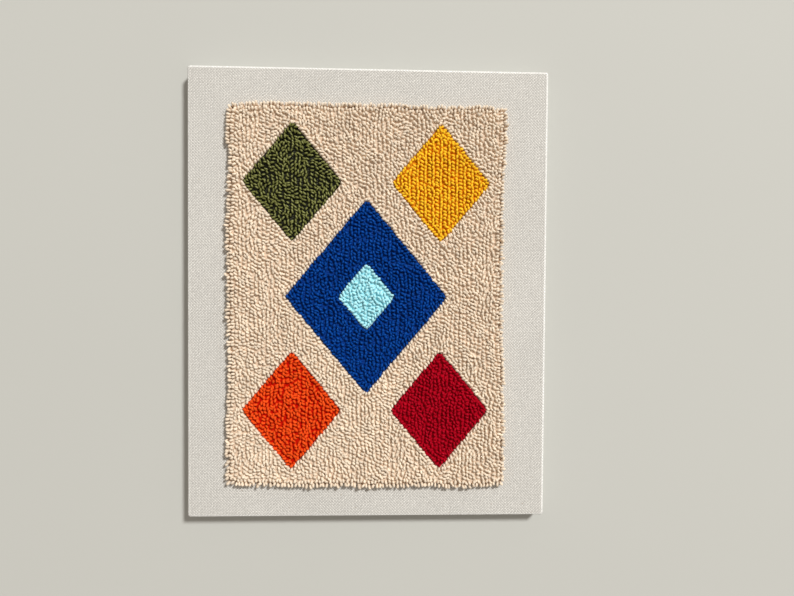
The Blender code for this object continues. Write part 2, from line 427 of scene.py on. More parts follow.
class WoodGrain(Effect):
    """Grain of planed softwood that runs along X of the place it is given."""

    name = "wood_grain"
    inputs = {"Place": None, "Rings": 260.0}
    outputs = ("Ring", "Pore", "Height")
    DRAWN_OUT = (0.045, 1.0, 1.0)  # how much the rings are drawn out along the bar
    WAVERS = 38.0  # swells to a metre in how the rings wander
    WAVER_REACH = 0.018
    SLOPE = 0.6  # how far the rings slope through the bar's thickness
    RING = (0.15, 0.95)  # the part of a year's growth in which the wood darkens
    PORE_SCALE = (60.0, 2600.0, 2600.0)
    PORE = (0.58, 0.78)
    RING_HEIGHT = 0.4

    def wire(self, graph: Graph, given: Wires) -> tuple[Wire, ...]:
        """Wire drawn-out growth rings and fine pores.

        Args:
            graph: the group's graph.
            given: the group's inputs, by name.

        Returns:
            How late in the year the wood grew, where the pores are, and the relief.
        """
        drawn = graph.vectors("MULTIPLY", given["Place"], self.DRAWN_OUT)
        _, y, z = graph.split(drawn)
        bent = graph.noise(drawn, self.WAVERS, detail=2.0) * self.WAVER_REACH + (y + z * self.SLOPE)
        ring = graph.ranged(graph.maths("FRACT", bent * given["Rings"]), self.RING, (0.0, 1.0))
        fine = graph.vectors("MULTIPLY", given["Place"], self.PORE_SCALE)
        pore = graph.ranged(graph.noise(fine, 1.0, detail=1.0), self.PORE, (0.0, 1.0))
        return ring, pore, ring * self.RING_HEIGHT - pore


@dataclass(frozen=True)
class Effects:
    """The effects that the finishes share."""

    twist: YarnTwist
    mottle: Mottle
    weave: PlainWeave
    grain: WoodGrain


# Finishes


@dataclass(frozen=True, kw_only=True)
class Finish(ABC):
    """A finish that can be made into a material, with a soft unevenness of tone."""

    mottle_size: float = 35 * MM
    mottle_strength: float = 0.08

    @abstractmethod
    def looks(self, graph: Graph, effects: Effects) -> dict[str, Value]:
        """What the inputs of the material's Principled shader get, by name."""

    def cloud(self, graph: Graph, effects: Effects, place: Wire) -> Wire:
        """The finish's uneven tone, about 1, at a place."""
        size, strength = self.mottle_size, self.mottle_strength
        return effects.mottle.placed(graph, Place=place, Size=size, Strength=strength)["Tone"]

    def material(self, name: str, effects: Effects) -> bpy.types.Material:
        """Make the material.

        Args:
            name: the material's name.
            effects: the shared effects.

        Returns:
            The new material.
        """
        material = bpy.data.materials.new(name)
        material.use_nodes = True
        graph = Graph(material.node_tree)
        result = graph.add("ShaderNodeOutputMaterial")
        shader = graph.add("ShaderNodeBsdfPrincipled")
        graph.feed(result.inputs["Surface"], Wire(graph, shader.outputs["BSDF"]))
        for socket, value in self.looks(graph, effects).items():
            graph.feed(shader.inputs[socket], value)
        return material


@dataclass(frozen=True, kw_only=True)
class YarnFinish(Finish):
    """Spun wool of one colour, with painted shade between the loops and in the ply grooves."""

    lit: Colour
    # deep is painted shade: the colour blended in by height towards each loop's foot; where it is paler than
    # lit it is a painted fill light
    deep: Colour
    roughness: float = 0.85
    shine: float = 0.12
    glint: Colour = (1.0, 1.0, 1.0)
    sheen: float = 0.2
    sheen_roughness: float = 0.5
    ply_depth: float = 0.22 * MM
    painted_shade_heights: tuple[float, float] = (0.5, 1.0)
    groove_shade_strength: float = 0.35

    def looks(self, graph: Graph, effects: Effects) -> dict[str, Value]:
        """Wire twist, tone of each loop, and painted shade towards its foot and in the ply grooves.

        Args:
            graph: the material's graph.
            effects: the shared effects.

        Returns:
            What the Principled shader's inputs get, by name.
        """
        along, around, _ = graph.split(graph.mapped(YarnMesh.YARN_MAP))
        twist = effects.twist.placed(graph, Along=along, Around=around)
        # painted shade: the deep colour takes over towards each loop's foot
        depth = graph.ranged(graph.attribute(YarnMesh.RISE), self.painted_shade_heights, (1.0, 0.0))
        # painted shade: the ply grooves also get the deep colour
        share = graph.maths("MAXIMUM", depth, twist["Groove"] * self.groove_shade_strength)
        tone = graph.attribute(YarnMesh.TONE) * self.cloud(graph, effects, graph.place())
        return {
            "Base Color": graph.toned(graph.mixed(share, self.lit, self.deep), tone),
            "Roughness": self.roughness,
            "Sheen Weight": self.sheen,
            "Sheen Roughness": self.sheen_roughness,
            "Sheen Tint": self.lit,
            "Specular IOR Level": self.shine,
            "Specular Tint": self.glint,
            "Normal": graph.bumped(twist["Height"], self.ply_depth),
        }


@dataclass(frozen=True, kw_only=True)
class LinenFinish(Finish):
    """Undyed linen in plain weave."""

    thread: Colour = (0.664, 0.657, 0.624)
    # the painted highlight's colour on the rounded front edges
    worn: Colour = (0.885, 0.89, 0.865)
    # the painted shade's colour in the gaps between threads
    painted_gap_shade: Colour = (0.40, 0.37, 0.34)
    fleck: Colour = (0.42, 0.34, 0.26)
    pitch: float = 1.62 * MM
    slub: float = 0.46
    check: float = 0.20
    hatch: float = 0.12
    mottle_size: float = 110 * MM
    mottle_strength: float = 0.07
    fuzz_scale: float = 700.0
    fuzz_strength: float = 0.72
    fleck_scale: tuple[float, float, float] = (190.0, 420.0, 1.0)
    fleck_range: tuple[float, float] = (0.74, 0.80)
    fleck_strength: float = 0.65
    gap_shade_strength: float = 0.3
    relief: float = 0.42 * MM
    roughness: float = 0.9
    sheen: float = 0.1
    shine: float = 0.3

    def looks(self, graph: Graph, effects: Effects) -> dict[str, Value]:
        """Wire threads with painted shade in the gaps, slubs, woody flecks, faint handling marks and a
        painted highlight on the front edges.

        Args:
            graph: the material's graph.
            effects: the shared effects.

        Returns:
            What the Principled shader's inputs get, by name.
        """
        cloth = graph.mapped(StretchedLinen.WEAVE_MAP)
        weave = effects.weave.placed(
            graph, Place=cloth, Pitch=self.pitch, Slub=self.slub, Check=self.check, Hatch=self.hatch
        )
        marks = self.cloud(graph, effects, cloth)
        fuzz = graph.noise(cloth, self.fuzz_scale, detail=2.0, rough=0.6)
        tone = weave["Tone"] * ((fuzz - 0.5) * self.fuzz_strength + marks)
        speckle = graph.noise(graph.vectors("MULTIPLY", cloth, self.fleck_scale), 1.0, detail=1.0)
        fleck = graph.ranged(speckle, self.fleck_range, (0.0, self.fleck_strength))
        # painted highlight: a paler colour on the rounded front edges
        highlighted = graph.mixed(graph.attribute(StretchedLinen.WORN), self.thread, self.worn)
        # painted shade: the gaps between threads are darkened
        colour = graph.mixed(weave["Gap"] * self.gap_shade_strength, highlighted, self.painted_gap_shade)
        return {
            "Base Color": graph.toned(graph.mixed(fleck, colour, self.fleck), tone),
            "Roughness": self.roughness,
            "Sheen Weight": self.sheen,
            "Specular IOR Level": self.shine,
            "Normal": graph.bumped(weave["Height"], self.relief),
        }


@dataclass(frozen=True, kw_only=True)
class WoodFinish(Finish):
    """Planed, unvarnished softwood."""

    grain: Grain
    early: Colour = (0.74, 0.56, 0.36)
    late: Colour = (0.50, 0.31, 0.16)
    relief: float = 0.15 * MM
    ring_strength: float = 0.55
    pore_strength: float = 0.5
    mottle_size: float = 60 * MM
    mottle_strength: float = 0.12
    roughness: float = 0.68
    ring_gloss: float = -0.12

    def looks(self, graph: Graph, effects: Effects) -> dict[str, Value]:
        """Wire growth rings along the bar, pores and a soft unevenness.

        Args:
            graph: the material's graph.
            effects: the shared effects.

        Returns:
            What the Principled shader's inputs get, by name.
        """
        x, y, z = graph.split(graph.place())
        place = graph.joined(x, y, z) if self.grain is Grain.ACROSS else graph.joined(y, x, z)
        grain = effects.grain.placed(graph, Place=place)
        ringed = graph.mixed(grain["Ring"] * self.ring_strength, self.early, self.late)
        pored = graph.mixed(grain["Pore"] * self.pore_strength, ringed, self.late)
        return {
            "Base Color": graph.toned(pored, self.cloud(graph, effects, place)),
            "Roughness": grain["Ring"] * self.ring_gloss + self.roughness,
            "Normal": graph.bumped(grain["Height"], self.relief),
        }


@dataclass(frozen=True, kw_only=True)
class FloorFinish(Finish):
    """Plain pale matt board."""

    paint: Colour = (0.55, 0.56, 0.53)
    roughness: float = 0.85
    mottle_size: float = 400 * MM
    mottle_strength: float = 0.02

    def looks(self, graph: Graph, effects: Effects) -> dict[str, Value]:
        """Wire a faint unevenness."""
        paint = graph.toned(self.paint, self.cloud(graph, effects, graph.place()))
        return {"Base Color": paint, "Roughness": self.roughness}


# Each yarn's lit colour is for its loops' tops and deep is painted shade towards their feet; crimson's and
# pale blue's deep is paler than lit, a painted fill light between the loops.
CREAM = YarnFinish(lit=(0.845, 0.725, 0.580), deep=(0.74, 0.590, 0.455))
OLIVE = YarnFinish(
    lit=(0.188, 0.200, 0.055),
    deep=(0.003, 0.004, 0.0002),
    roughness=0.42,
    shine=0.5,
    glint=(0.95, 1.0, 0.7),
    sheen=0.0,
    painted_shade_heights=(0.7, 1.0),
)
AMBER = YarnFinish(lit=(0.97, 0.585, 0.026), deep=(0.85, 0.31, 0.004))
ROYAL_BLUE = YarnFinish(
    lit=(0.001, 0.043, 0.260), deep=(0.001, 0.028, 0.242), roughness=0.5, shine=0.4, glint=(0.15, 0.55, 1.0)
)
PALE_BLUE = YarnFinish(lit=(0.45, 0.85, 0.93), deep=(0.47, 0.90, 0.98))
VERMILION = YarnFinish(lit=(0.82, 0.088, 0.011), deep=(0.64, 0.006, 0.0005), glint=(1.0, 0.55, 0.4))
CRIMSON = YarnFinish(
    lit=(0.36, 0.001, 0.010), deep=(0.51, 0.001, 0.013), roughness=0.5, shine=0.3, glint=(1.0, 0.15, 0.3)
)


# Plan of the stitches


@dataclass
class Outline:
    """A closed outline in the plane of the linen, counter-clockwise."""

    UNDERSIDE = 0.1 * MM  # points nearer than this to a solid's lowest height are its underside
    FINE = 0.8 * MM
    LOOK = 5  # the direction is taken from this many fine points on either side
    KEPT = 0.93  # points that lie nearer to the outline than this share of the inset go
    ROUNDED = 5  # the digits that tell two points of a solid apart
    NOTHING = 1e-12

    points: np.ndarray

    @classmethod
    def of_patch(cls, node: str) -> "Outline":
        """The outer outline of a patch of pile, from its solid's underside.

        Args:
            node: the patch's solid.

        Returns:
            The outline.
        """
        low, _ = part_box(node)
        found = [v.co.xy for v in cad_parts[node].data.vertices if v.co.z < low.z + cls.UNDERSIDE]
        return cls(np.array([found[i] for i in geometry.convex_hull_2d(found)]))

    @classmethod
    def of_rim(cls, node: str, reach: tuple[float, float]) -> "Outline":
        """The rim of the whole pile, from its solid.

        Args:
            node: the solid that has the rim.
            reach: the heights between which the rim stands out furthest, above the solid's underside.

        Returns:
            The rim's outline.
        """
        low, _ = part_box(node)
        seen = {}
        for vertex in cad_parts[node].data.vertices:
            if reach[0] < vertex.co.z - low.z < reach[1]:
                seen[vertex.co.to_tuple(cls.ROUNDED)] = vertex.co.xy
        found = np.array(list(seen.values()))
        middle = (found.min(0) + found.max(0)) / 2
        around = np.arctan2(found[:, 1] - middle[1], found[:, 0] - middle[0])
        return cls(found[np.argsort(around)])

    def corners(self) -> tuple[np.ndarray, np.ndarray]:
        """The lowest and the highest corner of its box."""
        return self.points.min(0), self.points.max(0)

    def depth(self, places: np.ndarray) -> np.ndarray:
        """How deep inside the outline some places lie.

        Args:
            places: the places, one to a row.

        Returns:
            Their distances from the outline, negative outside it.
        """
        start = self.points
        step = np.roll(start, -1, 0) - start
        off = places[:, None] - start[None]
        share = np.clip((off * step).sum(-1) / np.maximum((step**2).sum(-1), self.NOTHING), 0, 1)
        gap = np.linalg.norm(off - share[..., None] * step, axis=-1).min(1)
        level = places[:, None, 1]
        spans = (start[None, :, 1] > level) != (start[None, :, 1] + step[None, :, 1] > level)
        rise = np.where(step[:, 1] == 0, 1.0, step[:, 1])
        meets = start[:, 0] + step[:, 0] * (level - start[:, 1]) / rise
        inside = (spans & (places[:, None, 0] < meets)).sum(1) % 2 == 1
        return np.where(inside, gap, -gap)

    def walk(self, spacing: float, inset: float) -> tuple[np.ndarray, np.ndarray]:
        """Evenly spaced places along a line that follows the outline.

        Args:
            spacing: how far apart they are.
            inset: how far inside the outline the line runs, negative for outside.

        Returns:
            The places, and the direction of the line at each as an angle.
        """
        dense = self.evenly(self.points, self.FINE)
        ahead = np.roll(dense, -self.LOOK, 0) - np.roll(dense, self.LOOK, 0)
        inward = np.stack([-ahead[:, 1], ahead[:, 0]], 1) / np.linalg.norm(ahead, axis=1)[:, None]
        line = dense + inward * inset
        kept = line[np.abs(self.depth(line)) > self.KEPT * abs(inset)]
        places = self.evenly(kept, spacing)
        along = np.roll(places, -1, 0) - np.roll(places, 1, 0)
        return places, np.arctan2(along[:, 1], along[:, 0])

    @staticmethod
    def evenly(points: np.ndarray, spacing: float) -> np.ndarray:
        """A closed line's points, spaced evenly.

        Args:
            points: the line's corners.
            spacing: about how far apart the new points are.

        Returns:
            The new points.
        """
        closed = np.vstack([points, points[:1]])
        run = np.concatenate([[0], np.cumsum(np.linalg.norm(np.diff(closed, axis=0), axis=1))])
        count = max(round(run[-1] / spacing), 3)
        at = np.arange(count) * run[-1] / count
        return np.stack([np.interp(at, run, closed[:, 0]), np.interp(at, run, closed[:, 1])], 1)


@dataclass
class Loops:
    """Loops of one area of pile, one to a row, in the order they were punched."""

    places: np.ndarray
    turns: np.ndarray
    leans: np.ndarray
    heights: np.ndarray
    tones: np.ndarray
    runs: np.ndarray

    def chosen(self, mask: np.ndarray) -> "Loops":
        """The loops that a mask picks."""
        return Loops(*(getattr(self, name)[mask] for name in self.__dataclass_fields__))


@dataclass
class StitchPlan:
    """Plans the loops of one area: rows along its edges, then columns that fill it."""

    CLUMP_LAYER, SWELL_LAYER, SWIRL_LAYER = 7.0, 3.0, 9.0
    COMB_LAYERS = (5.0, 11.0)
    SAME_PLACE = 1e-6

    outer: Outline
    holes: list[Outline]
    on_rim: bool
    order: float
    column_turns: tuple[float, float]
    seed: int
    column_pitch: float = 4.35 * MM
    stitch_pitch: float = 3.9 * MM
    border_turn: float = math.radians(48)
    edge_inset: float = 2.1 * MM
    rim_inset: float = 3.7 * MM
    loop_height: float = 7.0 * MM
    settled_gap: float = 4.1 * MM
    settle_rounds: int = 7
    settle_share: float = 0.22
    settle_step: float = 0.5 * MM
    bare_gap: float = 2.95 * MM
    bare_step: float = 1.2 * MM
    rim_row_gap: float = 3.9 * MM
    rim_spread: float = math.radians(26)
    rim_reach: float = 0.34
    second_row_lean: float = 0.35
    clump_reach: float = 0.22
    clump_size: float = 10 * MM
    edge_spread: float = math.radians(12)
    edge_scatter: float = 0.28 * MM
    edge_lean: float = 0.05
    lean_spread: float = 0.07
    spare_lean: float = 0.08
    fill_clearance: float = 0.62
    fill_scatter: tuple[float, float] = (0.55 * MM, 0.35 * MM)  # without order, and how much less with it
    fill_turns: tuple[float, float] = (7, 14)  # in degrees: in full order, and how much more without it
    fill_leans: tuple[float, float] = (0.06, 0.05)  # in full order, and how much more without it
    swirl_turn: float = 3.0
    swirl_size: float = 24 * MM
    comb_reach: float = 0.7
    comb_size: float = 14 * MM
    swell_height: float = 0.9 * MM
    swell_size: float = 13 * MM
    height_spread: float = 0.38 * MM
    tone_spread: float = 0.055
    tone_limits: tuple[float, float] = (0.82, 1.14)

    def __post_init__(self) -> None:
        """Start the area's own chance."""
        self.rng = np.random.default_rng(self.seed)

    def loops(self) -> Loops:
        """Plan all the loops of the area.

        Returns:
            The loops.
        """
        rows = self.edge_rows()
        edge_count = sum(len(row.places) for row in rows)
        rows += self.fill_columns(len(rows))
        rows.append(self.spare_loops(np.concatenate([row.places for row in rows])))
        names = Loops.__dataclass_fields__
        planned = Loops(*(np.concatenate([getattr(row, name) for row in rows]) for name in names))
        self.settle(planned, edge_count)
        return planned

    def edge_rows(self) -> list[Loops]:
        """Plan rows of loops along every edge of the area.

        Returns:
            One set of loops for each row.
        """
        lines: list[tuple[Outline, float, float]] = []
        if self.on_rim:
            second = self.rim_inset + self.rim_row_gap
            lines += [(self.outer, self.rim_inset, 1.0), (self.outer, second, self.second_row_lean)]
        else:
            lines.append((self.outer, self.edge_inset, 0.0))
        lines += [(hole, -self.edge_inset, 0.0) for hole in self.holes]
        rows = []
        for run, (outline, inset, lean_out) in enumerate(lines):
            places, along = outline.walk(self.stitch_pitch, inset)
            count = len(places)
            outward = along - math.pi / 2
            if lean_out:
                turns = outward + self.rng.normal(0, self.rim_spread, count)
                clumps = self.noise_at(places, self.clump_size, self.CLUMP_LAYER)
                single = self.rng.uniform(0.0, self.rim_reach, count)
                reach = lean_out * (single + self.clump_reach * clumps)
            else:
                turns = along + self.border_turn + self.rng.normal(0, self.edge_spread, count)
                reach = self.rng.normal(0.0, self.edge_lean, count)
            leans = reach[:, None] * np.stack([np.cos(outward), np.sin(outward)], 1)
            leans += self.rng.normal(0, self.lean_spread, (count, 2))
            places = places + self.rng.normal(0, self.edge_scatter, (count, 2))
            rows.append(self.row(places, turns, leans, run))
        return rows

    def fill_columns(self, first_run: int) -> list[Loops]:
        """Plan columns of loops that fill the area inside its edge rows.

        Args:
            first_run: the number of the first column.

        Returns:
            One set of loops for each column.
        """
        low, high = self.outer.corners()
        middle = (low + high) / 2
        last = int((high[0] - low[0]) / 2 / self.column_pitch)
        margin = self.rim_inset + self.rim_row_gap if self.on_rim else self.edge_inset
        clearance = self.fill_clearance * self.stitch_pitch
        loose, tidied = self.fill_scatter
        least_turn, more_turn = self.fill_turns
        least_lean, more_lean = self.fill_leans
        rows = []
        for number in range(-last, last + 1):
            across = middle[0] + number * self.column_pitch
            ups = np.arange(low[1], high[1], self.stitch_pitch) + (number % 2) * self.stitch_pitch / 2
            places = np.stack([np.full(len(ups), across), ups], 1)
            places = places[self.clear(places, margin, clearance)]
            if not len(places):
                continue
            count = len(places)
            places = places + self.rng.normal(0, loose - tidied * self.order, (count, 2))
            turns = np.full(count, math.radians(self.column_turns[number % 2]))
            turns += (1 - self.order) * self.swirl(places)
            turns += self.rng.normal(0, math.radians(least_turn + more_turn * (1 - self.order)), count)
            leans = self.rng.normal(0, least_lean + more_lean * (1 - self.order), (count, 2))
            leans += (1 - self.order) * self.combing(places)
            rows.append(self.row(places, turns, leans, first_run + number + last))
        return rows

    def spare_loops(self, taken: np.ndarray) -> Loops:
        """Plan single loops for the bare spots that the rows leave.

        Args:
            taken: where the rows' loops stand.

        Returns:
            The single loops, each a row of its own.
        """
        low, high = self.outer.corners()
        across, up = np.meshgrid(*(np.arange(low[axis], high[axis], self.bare_step) for axis in (0, 1)))
        spots = self.rng.permutation(np.stack([across.ravel(), up.ravel()], 1))
        clear = self.clear(spots, self.rim_inset if self.on_rim else self.edge_inset, 0.0)
        tree = self.tree(taken)
        bare = [spot for spot in spots[clear] if tree.find((*spot, 0.0))[2] > self.bare_gap]
        chosen: list[np.ndarray] = []
        for spot in bare:
            if all(math.dist(spot, other) > self.bare_gap for other in chosen):
                chosen.append(spot)
        places = np.array(chosen).reshape(-1, 2)
        count = len(places)
        turns = self.rng.uniform(0, math.pi, count)
        spare = self.row(places, turns, self.rng.normal(0, self.spare_lean, (count, 2)), 0)
        spare.runs = -1 - np.arange(count)
        return spare

    def row(self, places: np.ndarray, turns: np.ndarray, leans: np.ndarray, run: int) -> Loops:
        """Give one row of loops its heights and tones.

        Args:
            places: where each loop stands.
            turns: which way each loop's plane runs, as an angle.
            leans: how far each loop's top leans, as a share of its height.
            run: the row's number.

        Returns:
            The row.
        """
        count = len(places)
        swell = self.swell_height * self.noise_at(places, self.swell_size, self.SWELL_LAYER)
        heights = self.loop_height + swell + self.rng.normal(0, self.height_spread, count)
        tones = np.clip(self.rng.normal(1.0, self.tone_spread, count), *self.tone_limits)
        return Loops(places, turns, leans, heights, tones, np.full(count, run))

    def clear(self, places: np.ndarray, margin: float, clearance: float) -> np.ndarray:
        """Which places are far enough from every edge of the area.

        Args:
            places: the places, one to a row.
            margin: how far from the outer edge its own rows of loops reach.
            clearance: how much further in than the edges' rows the places have to be.

        Returns:
            True for each that is.
        """
        clear = self.outer.depth(places) > margin + clearance
        for hole in self.holes:
            clear &= hole.depth(places) < -self.edge_inset - clearance
        return clear

    @staticmethod
    def tree(places: np.ndarray) -> kdtree.KDTree:
        """A search tree of places, for finding those near a spot.

        Args:
            places: the places, one to a row.

        Returns:
            The tree, which gives each place's row.
        """
        tree = kdtree.KDTree(len(places))
        for index, place in enumerate(places):
            tree.insert((*place, 0.0), index)
        tree.balance()
        return tree

    @staticmethod
    def noise_at(places: np.ndarray, size: float, layer: float) -> np.ndarray:
        """A soft noise with swells of some size, about -1 to 1. Noises of two layers are unlike."""
        return np.array([noise.noise(Vector((*place, layer)) / size) for place in places])

    def swirl(self, places: np.ndarray) -> np.ndarray:
        """How far loops have turned together with their neighbours, as an angle."""
        return self.noise_at(places, self.swirl_size, self.SWIRL_LAYER) * self.swirl_turn

    def combing(self, places: np.ndarray) -> np.ndarray:
        """How far loops lean together with their neighbours, as a share of their height."""
        leant = [self.noise_at(places, self.comb_size, layer) for layer in self.COMB_LAYERS]
        return np.stack(leant, 1) * self.comb_reach

    def settle(self, planned: Loops, fixed: int) -> None:
        """Ease loops that crowd each other apart.

        Args:
            planned: the loops, whose places are changed.
            fixed: how many of the first ones stay where they are.
        """
        places = planned.places
        for _ in range(self.settle_rounds):
            tree = self.tree(places)
            moved = places.copy()
            for index in range(fixed, len(places)):
                push = np.zeros(2)
                for other, _, gap in tree.find_range((*places[index], 0.0), self.settled_gap):
                    if gap > self.SAME_PLACE:
                        push += (places[index] - other[:2]) / gap * (self.settled_gap - gap)
                moved[index] += np.clip(self.settle_share * push, -self.settle_step, self.settle_step)
            places = moved
        planned.places = places


# Yarn meshes


@dataclass
class LoopShape:
    """The shape of one loop of yarn: a tube along a teardrop that stands on its point."""

    WIDEST = 0.77  # the largest value of the teardrop's formula

    half_width: float = 1.36 * MM
    yarn_radius: float = 1.37 * MM
    foot_depth: float = 0.4 * MM
    sides: int = 6
    half_turns: tuple[float, ...] = (0.40, 1.30, 1.95, 2.55)
    width_spread: float = 0.13
    girth_spread: float = 0.06
    bow_spread: float = 0.55 * MM
    twist_spread: float = 0.5
    twist_level: float = 0.8
    lean_curve: float = 1.3
    lean_drop: float = 0.35

    def turns(self) -> np.ndarray:
        """Where its rings stand along the teardrop, as angles from 0 to a full turn."""
        rising = np.array(self.half_turns)
        return np.concatenate([rising, [math.pi], (2 * math.pi - rising)[::-1]])

    def line(self) -> tuple[np.ndarray, np.ndarray]:
        """How far to the side each ring of the centreline is, from -1 to 1, and how high, from 0 to 1."""
        turn = self.turns()
        return np.sin(turn) * np.sin(turn / 2) / self.WIDEST, (1 - np.cos(turn)) / 2

    def outward(self, height: float) -> tuple[np.ndarray, np.ndarray]:
        """The direction out of the loop at each ring, in its own plane.

        Args:
            height: the height of a usual loop.

        Returns:
            The sideways and the upward part of that direction.
        """
        side, rise = self.line()
        step_side = np.gradient(side * self.half_width)
        step_rise = np.gradient(rise * height)
        length = np.hypot(step_side, step_rise)
        return step_rise / length, -step_side / length


class YarnMesh:
    """Gathers tubes of yarn and makes one mesh of them, with its maps and tones."""

    YARN_MAP = "yarn"
    BAKE_MAP = "OFBake"
    TONE = "tone"
    RISE = "rise"
    CELL_SHAPE = 3.0  # a tube's length over its girth
    CELL_FILL = 0.94

    def __init__(self) -> None:
        """Start with nothing."""
        self.gathered: dict[str, list[np.ndarray]] = defaultdict(list)
        self.vertex_count = 0
        self.cell_count = 0

    def add_tubes(self, rings: np.ndarray, along: np.ndarray, tones: np.ndarray, rises: np.ndarray) -> None:
        """Add tubes that all have the same number of rings and sides.

        Args:
            rings: the points, by tube, ring, side and axis.
            along: how far along the yarn each ring is, by tube and ring.
            tones: the tone of each tube.
            rises: how high each ring stands, from 0 to 1, by tube and ring.
        """
        tubes, ring_count, sides, _ = rings.shape
        ring = np.arange(ring_count - 1)[:, None]
        side = np.arange(sides)[None, :]
        after = (side + 1) % sides
        low, high = ring * sides, (ring + 1) * sides
        quad = np.stack([low + side, low + after, high + after, high + side], -1).reshape(-1, 4)
        starts = self.vertex_count + np.arange(tubes)[:, None, None] * ring_count * sides
        rung, flat = (np.broadcast_to(part, (ring_count - 1, sides)) for part in (ring, side))
        corner_ring = np.stack([rung, rung, rung + 1, rung + 1], -1).reshape(-1)
        corner_side = np.stack([flat, flat + 1, flat + 1, flat], -1).reshape(-1) / sides
        around = np.broadcast_to(corner_side, (tubes, len(corner_side)))
        in_cell = np.stack([corner_ring / (ring_count - 1), corner_side], -1)
        more = {
            "faces": (quad[None] + starts).reshape(-1, 4),
            "points": rings.reshape(-1, 3),
            self.TONE: np.repeat(tones, ring_count * sides),
            self.RISE: np.repeat(rises.reshape(-1), sides),
            self.YARN_MAP: np.stack([along[:, corner_ring], around], -1).reshape(-1, 2),
            self.BAKE_MAP: np.tile(in_cell, (tubes, 1)),
            "cells": np.repeat(self.cell_count + np.arange(tubes), len(in_cell)),
        }
        for name, values in more.items():
            self.gathered[name].append(values)
        self.vertex_count += tubes * ring_count * sides
        self.cell_count += tubes

    def mesh(self, name: str) -> bpy.types.Mesh:
        """Make the mesh.

        Args:
            name: the mesh's name.

        Returns:
            The mesh, smooth, with its maps and tones.
        """
        whole = {part: np.concatenate(rows) for part, rows in self.gathered.items()}
        mesh = bpy.data.meshes.new(name)
        mesh.from_pydata(whole["points"], [], whole["faces"])
        mesh.polygons.foreach_set("use_smooth", np.ones(len(mesh.polygons), bool))
        columns = max(math.ceil(math.sqrt(self.cell_count / self.CELL_SHAPE)), 1)
        rows = math.ceil(self.cell_count / columns)
        corner = np.stack([whole["cells"] % columns, whole["cells"] // columns], -1)
        inside = 0.5 + self.CELL_FILL * (whole[self.BAKE_MAP] - 0.5)
        yarn = mesh.uv_layers.new(name=self.YARN_MAP)
        yarn.data.foreach_set("uv", whole[self.YARN_MAP].ravel())
        bake = mesh.uv_layers.new(name=self.BAKE_MAP)
        bake.data.foreach_set("uv", ((corner + inside) / (columns, rows)).ravel())
        for attribute in (self.TONE, self.RISE):
            mark(mesh, attribute, whole[attribute])
        mesh.uv_layers.active = yarn
        mesh.update()
        return mesh


